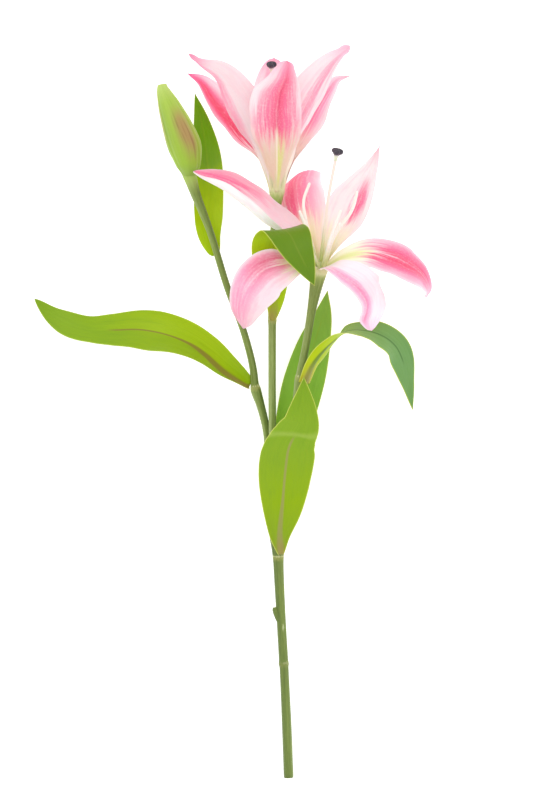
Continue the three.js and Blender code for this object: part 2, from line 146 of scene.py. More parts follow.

# scars: places along the stem, with the strength of each. top: the colour at its upper end. light: how much
# lighter it is all over. side: how much lighter the right is painted than the left, a painted light and
# shade across the round stem. flake: the place of one torn spot.
STALK = dict(scars=[], top=STEM_TOP, light=0, side=-0.16, flake=None)
STEM_LOOKS = {
    "main_stem": dict(scars=[(95, 0.35), (184, 0.9)], light=-0.13, side=0.14, flake=126),
    "bud_stalk": dict(scars=[(119, 0.9)], top=(160, 184, 86), light=-0.04),
    "upper_bloom_stalk": dict(scars=[(172, 1.2)], top=TEPAL_ROOT, light=0.12),
    "lower_bloom_stalk": dict(scars=[(127, 0.9)], top=TEPAL_ROOT, light=0.06),
}

# ---- Leaves and tepals

# spine: points along the middle. faces: where the inner face looks, from base to tip. width: at its widest,
# which is at the place widest. base: share of it at the foot. rise: how slowly it widens. point: how drawn
# out the tip is, and blunt: half the width that is kept there. trim: shares of the width, and shift:
# moves to the side, both from base to tip. cup: how far each side bends towards the inner face, in degrees.
# rim: its thickness at the margins. wave, vein, midrib: how high these stand. crease: the place of a fold,
# raised in the shape and, on a leaf, given a painted highlight along it.
BLADE = dict(
    faces=[(0, 0, 1)], base=0.16, rise=1.3, widest=0.55, point=0.9, blunt=0, trim=[1], shift=[0],
    midrib=0.5, crease=None,
)

# upper, under: the colours along each face, partly the leaf's own greens and partly painted light: the
# bright yellow-green stands for light shining through the leaf. shade: of the veins, and of the side
# darkened by dark_side.
# rib: strength of the midrib's colour, as far as rib_end. rib_width: half its width in millimetres, and
# rib_base: how much more of it there is at the foot, where it lies rib_side away from the middle. edge:
# strength of the margin's colour. root: strength of the brown foot.
LEAF = dict(
    rim=0.35, wave=0.5, vein=0.06, rib_colour=(160, 172, 40), rib_end=0.9, rib_width=0.75, rib_base=1.6,
    rib_side=0, edge=0.8, edge_colour=(206, 214, 100), shade=(84, 128, 22), dark_side=0, root=0.7,
)
LEAVES = {
    "long_leaf": dict(
        spine=[(-24.9, 325, 34.3), (-43, 338, 39.5), (-59, 350.5, 42), (-74, 359.5, 42.5),
               (-92, 366.5, 39.5), (-113, 370.5, 33), (-136, 370.5, 24), (-163, 372.5, 12), (-185, 382, 4),
               (-202, 397, 0.9)],
        faces=[(0.38, 0.65, 0.64), (0.3, 0.5, 0.8), (0, 0.2, 1), (0, 0.2, 1), (0, 0.2, 1)],
        width=37, base=0.3, rise=0.5, widest=0.4, point=0.7, trim=[1, 1, 1, 0.97, 0.86, 0.8, 1.04, 1],
        cup=[50, 40, 16, 12, 10],
        upper={0: (146, 182, 0), 0.2: (156, 186, 0), 0.45: (150, 180, 0), 0.65: (136, 170, 18),
               1: (124, 160, 24)},
        under={0: (160, 184, 40), 1: (136, 170, 50)},
        rib=0.95, rib_colour=(132, 122, 42), rib_end=0.66, rib_base=5.4, rib_side=-0.5, edge=0.4,
        dark_side=0.26,
    ),
    "front_leaf": dict(
        spine=[(2.4, 188, 27.2), (1.6, 204, 33), (4, 232, 42.5), (6, 256, 50.5), (9, 276, 57.5),
               (13, 285, 60), (17.4, 293, 59.5), (20, 306, 56.5), (21, 332, 51)],
        faces=[(0, -0.3, 1), (0, -0.3, 1), (0, -0.2, 1), (0.3, 0.1, 1), (0.2, 0.2, 1)],
        width=44, base=0.12, rise=0.9, widest=0.52, point=1, trim=[1, 1, 1, 1, 1.04, 0.94, 1, 1],
        shift=[0, 0, 0, 0, 0, 1.2, 0, 0], cup=[60, 16, 8],
        upper={0: (144, 160, 50), 0.08: (138, 168, 24), 0.3: (142, 174, 0), 0.55: (134, 168, 30),
               0.7: (132, 168, 34), 1: (124, 162, 28)},
        under={0: (160, 180, 50), 1: (136, 170, 50)},
        rib=0.85, rib_colour=(154, 152, 84), rib_end=0.69, rib_width=1.2, rib_base=2, crease=0.685,
    ),
    "back_leaf": dict(
        spine=[(2, 208, 13.2), (5, 239, 11), (9, 272, 12.5), (16, 306, 16.5), (23, 334, 19.5), (31, 363, 21),
               (37, 382, 20), (41, 403, 16)],
        width=34, base=0.2, widest=0.6, cup=[20, 10, 6],
        upper={0: (176, 206, 10), 0.3: (140, 190, 52), 1: (136, 186, 74)},
        under={0: (140, 170, 60), 1: (126, 162, 60)},
        shade=(104, 156, 52), rib=0.2,
    ),
    "right_leaf": dict(
        spine=[(22.6, 328, 43.6), (29, 343, 49.5), (43, 359.5, 54), (56, 368.5, 56), (71, 369, 53.5),
               (85, 365, 46), (96, 357, 35), (103, 344, 23), (108, 325, 10), (112, 305, 0.9)],
        faces=[(-0.5, 0.4, -0.75), (-0.5, 0.55, -0.7), (-0.3, 0.9, -0.3), (0, 0.85, 0.5), (0.1, 0.4, 0.9),
               (0.2, 0.25, 0.95), (0.3, 0.2, 0.95), (0.4, 0.3, 0.85), (0.5, 0.3, 0.8)],
        width=24, base=0.5, widest=0.62, cup=[30, 10, 6],
        upper={0: (160, 184, 30), 0.28: (136, 174, 60), 0.42: (118, 160, 80), 0.7: (110, 154, 86),
               1: (106, 150, 74)},
        under={0: (186, 180, 40), 0.12: (178, 198, 0), 0.35: (168, 194, 10), 1: (130, 168, 76)},
        shade=(70, 120, 60), rib=0.7, rib_colour=(70, 108, 50), rib_end=0.76, rib_base=2.4,
    ),
    "folded_leaf": dict(
        spine=[(-4.4, 379.6, 42), (-2.4, 394, 48), (-3, 417, 61), (-4, 434, 70), (2, 449, 80), (9, 445, 92),
               (16, 431, 98), (22, 419, 98), (29, 404, 93)],
        faces=[(0, 0.2, -1), (0, 0.2, -1), (0, 0.4, -1), (-0.2, 1, 0), (-0.1, 0.2, 1), (-0.1, 0.2, 1)],
        width=36, rise=0.9, shift=[0, 0.8, 0.3, 0, 0], cup=[50, 8, 6],
        upper={0: (140, 176, 16), 0.45: (118, 154, 20), 0.6: (102, 136, 20), 1: (98, 134, 24)},
        under={0: (186, 190, 60), 0.05: (170, 200, 4), 0.25: (168, 204, 0), 0.45: (166, 196, 4),
               1: (150, 180, 30)},
        shade=(78, 120, 24), rib=0.3, rib_colour=(134, 150, 50), rib_base=2.6,
    ),
    "bud_leaf": dict(
        spine=[(-52, 433, 33.5), (-56, 448, 29), (-57, 469, 25), (-57, 490, 22), (-59, 519, 21),
               (-63, 543, 25), (-68, 564, 31)],
        width=26, base=0.2, rise=0.55, widest=0.45, trim=[1, 1.04, 0.94, 1, 1, 1], cup=[20, 12, 8],
        upper={0: (168, 200, 0), 0.3: (170, 200, 0), 0.45: (156, 190, 0), 0.58: (124, 168, 38),
               0.72: (112, 162, 0), 1: (104, 152, 0)},
        under={0: (160, 190, 20), 1: (130, 170, 40)},
        shade=(96, 136, 0), rib=0.15, edge=0.3, root=0,
    ),
}

# inside, outside: the palest colour of each face. blush: strength of the pink clouds on both. band: half the
# width of the pink band, as a share of half the tepal, about the place centre. lean: how far that centre
# moves sideways from base to tip. flare: how much wider the band is at the base. start, stop: where it lies
# along the tepal. feather: how ragged its sides are, and mottle: how streaky it is inside. share: how much
# of it shows outside. deep: strength of its darker middle, as far as deep_stop. line: of the dark line on
# the midrib. throat: how far the cream base reaches, with a green stripe in it at green_at. ridge: strength
# of a pale line along the lower half of the midrib. root, tip, margin: strength of the colour there.
TEPAL = dict(
    rim=0.3, wave=1, vein=0.14, inside=(248, 216, 224), outside=(247, 222, 226), blush=0.4,
    blush_pink=(246, 166, 190), centre=0, lean=0, band=0.42, flare=0, start=0.34, stop=0.98, feather=1.2,
    mottle=2.4, strength=1, share=0.8, pink=(245, 100, 146), deep=0.6, deep_width=0.4, deep_stop=1.3,
    deep_pink=(228, 52, 98), line=0, throat=0.24, cream=(248, 232, 210), green=0.7, green_width=0.3,
    green_at=0, root=0.85, ridge=0, tip=0.85, tip_pink=(246, 140, 178), margin=0.6,
)
TEPALS = {
    "upper_front": dict(
        spine=[(-1, 484.3, 53), (-1, 513, 68), (-1.5, 541, 86), (0, 563, 99), (3, 582, 107.5)],
        faces=[(0, 0, -1)],
        width=45, base=0.14, widest=0.58, point=0.6, blunt=6.5, trim=[1, 1, 1, 1, 1, 1, 1, 0.85, 0.9],
        shift=[0, 0, 0, 0, 0, 1, 1, -3, -4], cup=[60, 35, 25],
        centre=-0.02, lean=-0.6, band=0.68, flare=0.9, feather=1.4, start=0.36, stop=1.1, line=0.35,
        throat=0.42, margin=0.25, cream=(230, 202, 176), green_at=-0.16, ridge=0.7, share=1, tip=0.6,
        tip_pink=(247, 160, 190), midrib=1.4, strength=0.95,
    ),
    "upper_back": dict(
        spine=[(-1, 484.3, 41.6), (-3, 515, 31), (-4, 556, 14.5), (-4, 582, 5), (-3, 597, 1)],
        width=36, base=0.14, widest=0.62, point=0.5, cup=[40, 10, 8],
        band=0.6, strength=0.6, tip=0.6, line=0.1,
    ),
    "upper_left_front": dict(
        spine=[(-6.2, 484.3, 49.6), (-12, 515, 57.5), (-20, 540, 66), (-32.5, 562, 73), (-45.5, 576.5, 78),
               (-60.5, 583, 80.5), (-71.5, 590, 82)],
        faces=[(0.7, 0, -0.7), (0.4, 0.2, -0.9), (0.35, 0.2, -0.9)],
        width=28, point=1.2, blunt=2, trim=[1, 1.1, 1.25, 1.28, 1.2, 1.1, 1, 1, 1],
        shift=[0, 0.6, 1.8, 2.6, 2.4, 1.5, 0.4, 0, 0], cup=[60, 15, 10],
        outside=(238, 218, 222), blush=0.15, centre=0.85, start=0.25, strength=0.75, pink=(248, 132, 174),
        deep=0.1, margin=0, share=1, cream=(244, 226, 220), green=0,
    ),
    "upper_left_back": dict(
        spine=[(-5.6, 484.3, 44), (-12, 509, 41), (-25, 527.5, 37), (-40.5, 549.5, 33), (-51, 562, 30),
               (-62, 575, 27), (-74, 581.5, 22)],
        faces=[(0.7, 0, 0.7), (0.35, 0.2, 0.9), (0.3, 0.3, 0.9)],
        width=28, cup=[50, 10],
        centre=-0.45, band=0.95, feather=0.9, start=0.32, stop=1.2, pink=(245, 106, 150), deep=1,
        deep_pink=(228, 30, 78), deep_width=0.6, tip_pink=(238, 108, 162), throat=0.3, margin=0.2, line=0.1,
    ),
    "upper_right_front": dict(
        spine=[(4.2, 484.3, 49.6), (8, 514, 57), (13, 538, 66), (22, 558, 72), (32, 574, 76),
               (41, 585, 79.5), (56, 598, 83)],
        faces=[(-0.7, 0, -0.7), (-0.4, 0.2, -0.9), (-0.35, 0.2, -0.9)],
        width=31, point=0.85, blunt=4.2, trim=[1, 1, 1, 1, 1, 0.95, 0.95, 1],
        shift=[0, 0, 0, 0, 0, -0.5, -1, -2], cup=[60, 15, 10],
        outside=(247, 228, 232), centre=-0.4, band=0.34, feather=1.5, start=0.22, strength=0.75, blush=0.25,
        pink=(244, 124, 168), deep=0.1, deep_width=0.2, tip=0.7, tip_pink=(248, 178, 206), margin=0.4,
        share=1, throat=0.26, green=0.1,
    ),
    "upper_right_back": dict(
        spine=[(3.6, 484.3, 44), (10.5, 510, 41), (20.5, 530.5, 37), (32, 552.5, 33), (41, 566.5, 30.5),
               (48.5, 576, 28), (59.8, 579.6, 24)],
        faces=[(-0.7, 0, 0.7), (-0.35, 0.2, 0.9), (-0.3, 0.3, 0.9)],
        width=27, point=1.2, cup=[50, 10],
        centre=0.1, band=0.55, stop=0.9, pink=(246, 138, 182), deep=0.3, feather=2, cream=(252, 226, 210),
        throat=0.46, green=0.1, tip=0.25, margin=0.9, line=0.1, strength=0.95,
    ),
    "lower_left": dict(
        spine=[(28, 424, 66), (20, 438, 58), (6, 450, 56), (-10, 458.5, 57), (-26, 471.5, 58),
               (-42, 483.5, 58), (-54, 490, 58), (-62, 494, 58), (-68.5, 498, 58)],
        faces=[(0.2, 0.3, 0.9), (0.36, 0.6, 0.7), (0.41, 0.7, 0.57), (0.41, 0.7, 0.57), (0.41, 0.7, 0.57)],
        width=42, base=0.12, point=0.65, cup=[30, 70, 100, 100, 70],
        outside=(253, 248, 246), blush=0.25, band=1.15, feather=1.6, start=0.58, stop=1.15,
        pink=(246, 96, 152), deep=0.2, share=0.06, throat=0.16, green=0.3, margin=0.15, tip=0.2,
    ),
    "lower_back": dict(
        spine=[(32, 426, 63.4), (29, 440, 54), (25, 455, 46), (22, 471, 41), (22, 489, 33), (26, 502, 18),
               (33, 500, 1)],
        faces=[(0, 0.2, 1), (-0.35, 0.2, 1), (-0.3, 0.4, 1), (-0.2, 1, 0.4), (-0.1, 1, -0.2)],
        width=35, base=0.14, widest=0.5, point=0.6, trim=[1, 1, 1, 1.02, 1.1, 1.15, 1.05, 1],
        shift=[0, 0, 0, -0.5, -2.5, -4, -2, 0], cup=[30, 8, -12, -38, -38],
        centre=-0.45, band=1.3, start=0.38, stop=1.1, pink=(254, 120, 168), deep=0.55, deep_width=0.9,
        throat=0.42, cream=(250, 230, 212), green=0.3, green_width=0.6, tip=0.3, strength=0.95,
    ),
    "lower_upper_right": dict(
        spine=[(38, 425, 65), (47, 452, 66), (57, 472, 60), (67, 489, 52), (76, 506, 46), (83, 520, 46)],
        faces=[(-0.5, 0, 1), (-0.3, 0, 1)],
        width=33, widest=0.5, point=1.25, trim=[1, 1.2, 1.2, 1.08, 0.92, 0.88, 1],
        shift=[0, 1.5, 3, 1.6, 1, 1.5, 0], cup=[40, 20, 10],
        inside=(249, 226, 227), centre=0.34, band=0.4, feather=1.6, start=0.36, stop=0.7,
        pink=(246, 94, 148), deep=0.45, deep_width=0.3, throat=0.3, cream=(250, 238, 214), green=0.25,
        tip=0.35, blush=0.3,
    ),
    "lower_right": dict(
        spine=[(40, 421, 70), (51, 427, 75), (70, 430, 80), (88, 427, 82.5), (104, 421, 82), (116, 413, 73),
               (121.5, 403, 63), (120, 396, 56)],
        faces=[(-0.3, 0.4, 0.85), (-0.1, 0.6, 0.8), (0.2, 0.6, 0.7), (0.5, 0.4, 0.7)],
        width=34, base=0.14, widest=0.52, point=0.75, trim=[1, 1, 1, 1, 1.1, 1.15, 1.1, 1, 1],
        shift=[0, 0, 0, 0.4, 2, 3, 3, 2, 0], cup=[40, 20, 10],
        centre=-0.1, lean=-0.5, band=1.1, feather=1, mottle=1.4, stop=1.1, pink=(245, 104, 156), deep=1,
        deep_width=0.8, deep_stop=0.95, throat=0.32, cream=(252, 250, 222), green=0.6, green_width=0.6,
        tip_pink=(250, 206, 222), margin=0.3, blush=0.7, root=0.4,
    ),
    "lower_front_right": dict(
        spine=[(35, 418.4, 73.6), (43.5, 420, 91), (53, 417.5, 103), (64.5, 410, 108), (73.5, 399, 105),
               (77, 386.5, 92), (75, 369, 73)],
        faces=[(-0.2, 0.9, 0.2), (0.2, 0.6, 0.8), (0.5, 0.3, 0.8), (0.4, -0.2, 0.9)],
        width=32, base=0.14, widest=0.5, point=0.5, trim=[1, 1, 1, 1, 1.04, 1.08, 1.16, 1.2, 1],
        shift=[0, 0, 0, -0.7, -2.8, -3.2, -1.2, 0.8, 0], cup=[30, -30, -20],
        inside=(248, 228, 235), centre=0.65, feather=0.9, start=0.16, stop=1, strength=0.85,
        pink=(243, 142, 190), deep_width=0.16, deep_pink=(226, 92, 146), throat=0.1, green=0.2, tip=0.5,
        tip_pink=(244, 190, 224), blush=0.2, root=0.1,
    ),
    "lower_front_left": dict(
        spine=[(29, 420, 72), (20, 422, 80), (6, 419, 85), (-9, 413, 87), (-20, 401, 84), (-26, 387, 73),
               (-28, 371, 56)],
        faces=[(0.2, 0.9, 0.3), (0, 0.4, 0.9), (-0.3, 0.1, 0.9), (-0.3, -0.2, 0.9)],
        width=42, base=0.14, point=0.7, trim=[1, 1, 1.05, 1.05, 0.96, 0.94, 1],
        shift=[0, 0, 1, 1.6, 1.8, 1.3, 0], cup=[40, -15, -20],
        centre=0.35, band=0.8, feather=1.5, start=0.2, stop=1.05, strength=0.82, pink=(243, 134, 178),
        deep=1, deep_width=0.8, deep_stop=0.64, deep_pink=(216, 62, 100), throat=0.26, cream=(238, 228, 186),
        green=0.5, tip=0.45, tip_pink=(249, 194, 214), root=0.4,
    ),
}

# ---- Threads of the blooms, and where stems meet what they carry

FILAMENTS = {
    "upper": [
        [(1.5, 484.3, 48.5), (4, 516, 52), (9, 546, 58)],
        [(-1, 484.3, 49.9), (-1, 517, 56), (0, 548, 64)],
        [(-3.5, 484.3, 48.5), (-7, 516, 52), (-13, 546, 57)],
        [(-3.5, 484.3, 45.5), (-7, 516, 45), (-13, 545, 45)],
        [(-1, 484.3, 44.1), (-1, 517, 43), (-3, 547, 41)],
        [(1.5, 484.3, 45.5), (4, 516, 45), (9, 545, 46)],
    ],
    "lower": [
        [(31.6, 423, 68.2), (25.4, 445, 70), (20.4, 472, 72), (25, 486.5, 75)],
        [(31, 421.5, 70.4), (26, 442, 73), (17.4, 464, 77)],
        [(36.6, 423.4, 68.4), (46, 446, 76), (59, 465, 82), (63, 479, 85)],
        [(37.4, 421.6, 70), (42, 437, 83), (49, 453, 96)],
        [(35.4, 420.2, 71.2), (40.5, 438, 92), (49, 462, 111)],
        [(32.9, 420.3, 71.8), (27, 431, 78), (17, 440, 83)],
    ],
}
STYLES = {
    "upper": [(-1, 484, 46.8), (-1, 508, 49), (-2, 540, 54), (-5, 576, 67)],
    "lower": [(34, 421, 67.4), (36.5, 445, 84), (40, 475, 102), (45, 502, 113)],
}

# How a stalk goes on past its last point: distance, and share of the radius there.
BLOOM_COLLAR = [(1.4, 0.97), (4.4, 0.8)]
BUD_COLLAR = [(1.4, 1.02), (3.4, 1)]

# Pale green domes in the throats, under the filaments: points with radius.
DOMES = {
    "upper_bloom_stalk": [(-1, 482, 46.4, 5.4), (-1, 486, 46.8, 5), (-1, 490, 47.2, 3)],
    "lower_bloom_stalk": [(33, 417.5, 65, 5.8), (33.7, 421.5, 68, 5.4), (34.2, 425, 71, 3)],
}

# ---- Shape helpers


def unit(vectors):
    """The vectors, each made one long."""
    return vectors / np.maximum(np.linalg.norm(vectors, axis=-1, keepdims=True), 1e-9)


def catmull(points, t):
    """Places and directions on a centripetal Catmull-Rom curve, where t counts its points."""
    points = np.asarray(points, float)
    knots = np.array([2 * points[0] - points[1], *points, 2 * points[-1] - points[-2]])
    index = np.clip(np.floor(t).astype(int), 0, len(points) - 2)
    w = (t - index)[:, None]
    a, b, c, d = (knots[index + k] for k in range(4))
    ab, bc, cd = (np.linalg.norm(far, axis=1)[:, None] ** 0.5 for far in (b - a, c - b, d - c))
    start = ((b - a) / ab - (c - a) / (ab + bc) + (c - b) / bc) * bc
    end = ((c - b) / bc - (d - b) / (bc + cd) + (d - c) / cd) * bc
    cube = 2 * b - 2 * c + start + end
    square = 3 * c - 3 * b - 2 * start - end
    places = b + start * w + square * w ** 2 + cube * w ** 3
    return places, unit(start + 2 * square * w + 3 * cube * w ** 2)


def distances(places):
    """How far each place is along the line through them all."""
    steps = np.linalg.norm(np.diff(places, axis=0), axis=1)
    return np.concatenate([[0], np.cumsum(steps)])


def even_curve(points, count):
    """count + 1 places evenly far apart along the curve, the directions there, and its length."""
    fine = np.linspace(0, len(points) - 1, CURVE_SAMPLES)
    far = distances(catmull(points, fine)[0])
    t = np.interp(np.linspace(0, far[-1], count + 1), far, fine)
    return *catmull(points, t), far[-1]


def sunk(points):
    """The points, with the first moved back along the line so that it lies inside its neighbour."""
    first = np.array(points[0], float)
    return [tuple(first + unit(first - points[1]) * SINK), *points[1:]]


def end_of(path):
    """The last point of a path, and its direction there."""
    end = np.array(path[-1], float)
    return end, unit(end - path[-2])


def spread(values, u):
    """The values, spread evenly from 0 to 1, at fractions u, with soft turns between them."""
    values = np.asarray(values, float)
    if len(values) == 1:
        return np.repeat(values, len(u), axis=0)
    place = u * (len(values) - 1)
    index = np.clip(np.floor(place).astype(int), 0, len(values) - 2)
    w = place - index
    w = (w * w * (3 - 2 * w) + w) / 2
    if values.ndim > 1:
        w = w[:, None]
    return values[index] * (1 - w) + values[index + 1] * w


def linked(name, data, place=(0, 0, 0)):
    """A new object in the scene, made of the data."""
    thing = bpy.data.objects.new(name, data)
    thing.location = place
    bpy.context.scene.collection.objects.link(thing)
    return thing


def ring_faces(count, sides):
    """The faces between each of count rings of vertices and the next."""
    faces = []
    for a in range(0, (count - 1) * sides, sides):
        for j in range(sides):
            k = (j + 1) % sides
            faces.append((a + j, a + k, a + k + sides, a + j + sides))
    return faces


# ---- Leaves and tepals as thin sheets: u runs from 0 at the foot to 1 at the tip, v from -1 to 1 across


def half_width(blade, u):
    """Half the width of a leaf or tepal at fractions u of its length."""
    base, widest = blade.base, blade.widest
    quarter = np.pi / 2
    widening = base + (1 - base) * np.sin(quarter * np.minimum(u / widest, 1)) ** blade.rise
    closing = np.cos(quarter * np.clip((u - widest) / (1 - widest), 0, 1)) ** blade.point
    shape = np.where(u < widest, widening, closing) * spread(blade.trim, u)
    rounded = np.clip((1 - u) / 0.03, 0, 1) ** 0.5  # a blunt tip still turns in at its very end
    blunt = np.maximum(0.25, blade.blunt * rounded * (u > widest))
    return np.maximum(blade.width / 2 * shape, blunt)


def middle_sheet(blade, u, v):
    """The sheet half way through a blade: its places and normals, its half width at u, and its length."""
    centre, forward, length = even_curve(sunk(blade.spine), len(u) - 1)
    face = spread(blade.faces, u)
    face = unit(face - forward * (face * forward).sum(1, keepdims=True))
    side = np.cross(forward, face)[:, None, :]
    face = face[:, None, :]
    half = half_width(blade, u)
    cup = np.radians(spread(blade.cup, u))
    cup = np.where(np.abs(cup) < 1e-3, 1e-3, cup)
    reach = (half / cup)[:, None, None]
    turn = cup[:, None, None] * v[None, :, None]
    places = centre[:, None, :] + side * (reach * np.sin(turn)) + face * (reach * (1 - np.cos(turn)))
    places = places + side * spread(blade.shift, u)[:, None, None]
    return places, face * np.cos(turn) - side * np.sin(turn), half, length


def waves(u, v, rng, count, strength):
    """Soft waves along the margins, different on each side: three runs of them, each finer and lower."""
    total = np.zeros((len(u), len(v)))
    for side in (-1, 1):
        edge = np.clip(side * v, 0, 1) ** 2.2
        for k in range(3):
            turns = count * (0.6 + 0.45 * k) * (0.85 + 0.3 * rng.random())
            phase = 2 * math.pi * rng.random()
            total += np.outer(np.sin(2 * math.pi * turns * u + phase), edge) * strength / (1 + 0.8 * k)
    return total * np.sin(np.pi * np.clip(u, 0, 1))[:, None] ** 0.6


def blade_surface(blade, seed):
    """A leaf or tepal: a thin cupped sheet with a midrib, raised veins and waved margins."""
    u = np.linspace(0, 1, BLADE_ROWS + 1)
    quarter = np.pi / 2 * EDGE_CROWDING
    v = np.sin(np.linspace(-quarter, quarter, BLADE_COLUMNS + 1)) / math.sin(quarter)
    middle, normal, half, length = middle_sheet(blade, u, v)
    along = u[:, None]
    across = half[:, None] * v
    fade = np.clip(1 - v ** 2, 0, 1) * np.clip(along * 8, 0, 1)
    veins = blade.vein * np.cos(v * VEINS * np.pi + 0.7 * np.sin(5 * along)) * fade
    lift = waves(u, v, np.random.default_rng(seed), length / WAVE_SPACING, blade.wave) + veins
    if blade.crease:
        off = along - blade.crease - CREASE_SLANT * v
        lift = lift + CREASE_HEIGHT * np.exp(-((off / CREASE_REACH) ** 2))
    middle = middle + normal * lift[..., None]
    ridge = blade.midrib * np.exp(-(across / MIDRIB_WIDTH) ** 2) * np.clip(1.15 - along, 0, 1)
    thick = blade.rim + (THICKNESS - blade.rim) * (1 - np.abs(v) ** 3)
    upper = middle + normal * (thick / 2 - GROOVE * np.minimum(ridge, thick))[..., None]
    lower = middle - normal * (thick / 2 + ridge)[..., None]
    rings = np.concatenate([upper, lower[:, ::-1]], axis=1)
    count, sides = rings.shape[:2]
    faces = ring_faces(count, sides)
    tip = (count - 1) * sides
    for a in range(BLADE_COLUMNS):
        b = sides - 1 - a
        faces.append((a, b, b - 1, a + 1))
        faces.append((tip + a, tip + a + 1, tip + b - 1, tip + b))
    values = {
        "along": np.repeat(u, sides),
        "across": np.tile([*v, *v[::-1]], count),
        "inner": np.tile(np.repeat([1, 0], len(v)), count),
        "width_mm": np.repeat(half, sides),
    }
    return rings.reshape(-1, 3), faces, values


# ---- Stems, threads and the bud as round rods


def end_rings(rim, beside, depth):
    """Rings that step in from the rim of a rod to a flat middle, sunk by depth away from its end."""
    middle = rim.mean(0)
    inwards = unit(beside.mean(0) - middle)
    return [middle + (rim - middle) * inset + inwards * depth * (1 - inset) for inset in END_RINGS]


def one_rod(points, per_span, sides, shape, depth):
    """Places, faces and values of a closed round rod; shape(far, angles) scales its radius."""
    points = np.asarray(points, float)
    t = np.linspace(0, len(points) - 1, (len(points) - 1) * per_span + 1)
    centre, forward = catmull(points[:, :3], t)
    radius = np.interp(t, np.arange(len(points)), points[:, 3])
    reach = per_span // 3  # the radii are averaged this far either way
    window = np.ones(2 * reach + 1) / (2 * reach + 1)
    radius = np.convolve(np.pad(radius, reach, mode="edge"), window, "valid")
    far = distances(centre)
    angles = np.linspace(0, 2 * np.pi, sides, endpoint=False)
    rings = []
    across = np.array([0.0, 0.0, 1.0])
    for i in range(len(t)):
        across = unit(across - forward[i] * (across @ forward[i]))
        other = np.cross(forward[i], across)
        scale = radius[i] * shape(far[i], angles)
        ring = np.outer(scale * np.cos(angles), across) + np.outer(scale * np.sin(angles), other)
        rings.append(centre[i] + ring)
    foot = end_rings(rings[0], rings[1], depth)[::-1]
    top = end_rings(rings[-1], rings[-2], depth)
    rings = [*foot, *rings, *top]
    count = len(rings)
    faces = ring_faces(count, sides)
    faces.append(tuple(range(sides))[::-1])
    faces.append(tuple(range((count - 1) * sides, count * sides)))
    closing = 1 - np.array(END_RINGS)
    far = np.pad(far, len(END_RINGS), mode="edge")
    values = {
        "along": np.repeat(far / far[-1], sides),
        "distance": np.repeat(far, sides),
        "around": np.tile(np.cos(angles), count),
        "around2": np.tile(np.sin(angles), count),
        "end": np.repeat([*closing[::-1], *np.zeros(len(t)), *closing], sides),
    }
    return np.concatenate(rings), faces, values


def plain(far, angles):
    """A rod that is round all along."""
    return np.ones_like(angles)


def rod_surface(rods, per_span, sides=ROUND_SIDES, shape=plain, depth=0, pale=()):
    """One surface of round rods with closed ends; the rods numbered in pale look like a cut end."""
    places, faces, values = [], [], {}
    for number, points in enumerate(rods):
        more, more_faces, more_values = one_rod(points, per_span, sides, shape, depth)
        if number in pale:
            more_values["end"][:] = 1
        shift = sum(len(part) for part in places)
        places.append(more)
        faces += [tuple(k + shift for k in face) for face in more_faces]
        for label, numbers in more_values.items():
            values.setdefault(label, []).append(numbers)
    joined = {label: np.concatenate(parts) for label, parts in values.items()}
    return np.concatenate(places), faces, joined


# ---- Pieces


def ridged(far, angles):
    """Fine lengthwise ridges of a stem, which turn slowly round it."""
    ridges = 0.03 * np.cos(9 * angles + far / 60) + 0.012 * np.cos(23 * angles - far / 45)
    return 1 + ridges + 0.012 * math.sin(far / 9) * np.cos(2 * angles + 1)


def bud_ribs(far, angles):
    """Three outer tepals: a raised rib on each, and a narrow seam between them."""
    folded = np.mod(angles + math.pi / 3, 2 * math.pi / 3) - math.pi / 3
    rib = 0.05 * np.exp(-((folded / 0.2) ** 2))
    seam = 0.07 * np.exp(-(((np.abs(folded) - math.pi / 3) / 0.09) ** 2))
    return 1 + 0.04 * np.cos(3 * angles) + rib - seam + 0.008 * np.cos(27 * angles)


def lobes(far, angles):
    """The three lobes of a stigma, which open out past its cone."""
    return 1 + np.clip((far - 4) / 3, 0, 1) * (0.28 * np.cos(3 * angles + 0.6) - 0.02)


def add_piece(node, material, surface):
    """Puts a smooth surface in the frame in place of a CAD node; its values are one number a vertex."""
    places, faces, values = surface
    mesh = bpy.data.meshes.new(f"{node}_surface")
    mesh.from_pydata(((places + SETTLED) * MM).tolist(), [], faces)
    for label, numbers in values.items():
        layer = mesh.attributes.new(label, "FLOAT", "POINT")
        layer.data.foreach_set("value", np.asarray(numbers, np.float32))
    mesh.shade_smooth()
    mesh.update()
    mesh.materials.append(material)
    piece = linked(mesh.name, mesh)
    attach(piece, "root")
    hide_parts(node)
    return piece


def add_stems():
    """The main stem with its stub, and the stalks, two of which end in a dome inside a bloom."""
    stem = rod_surface([STEM, STUB], per_span=STEM_SPANS, shape=ridged, depth=CUT_DEPTH)
    add_piece("main_stem", stem_material("main_stem", STEM_LENGTH), stem)
    for name, points in STALKS.items():
        in_bloom = name in DOMES
        rods = [joined_stalk(points, BLOOM_COLLAR if in_bloom else BUD_COLLAR)]
        if in_bloom:
            rods.append(DOMES[name])
        stalk = rod_surface(rods, per_span=STEM_SPANS, shape=ridged, pale=(1,))
        length = even_curve(np.asarray(points)[:, :3], 1)[2]
        add_piece(name, stem_material(name, length), stalk)


def joined_stalk(points, collar):
    """The stalk, made longer at both ends: into the stem, and round the bases of what it carries."""
    bare = [point[:3] for point in points]
    end, way = end_of(bare)
    rim = [(*(end + way * far), points[-1][3] * share) for far, share in collar]
    return [(*sunk(bare)[0], points[0][3]), *points[1:], *rim]


def add_bud():
    bud = rod_surface([BUD], per_span=16, sides=96, shape=bud_ribs, depth=1.5)
    add_piece("bud", bud_material(), bud)


def add_leaves():
    for number, (name, row) in enumerate(LEAVES.items()):
        leaf = SimpleNamespace(**BLADE | LEAF | row)
        skin = leaf_material(name, leaf, number)
        add_piece(name, skin, blade_surface(leaf, LEAF_SEED + number))


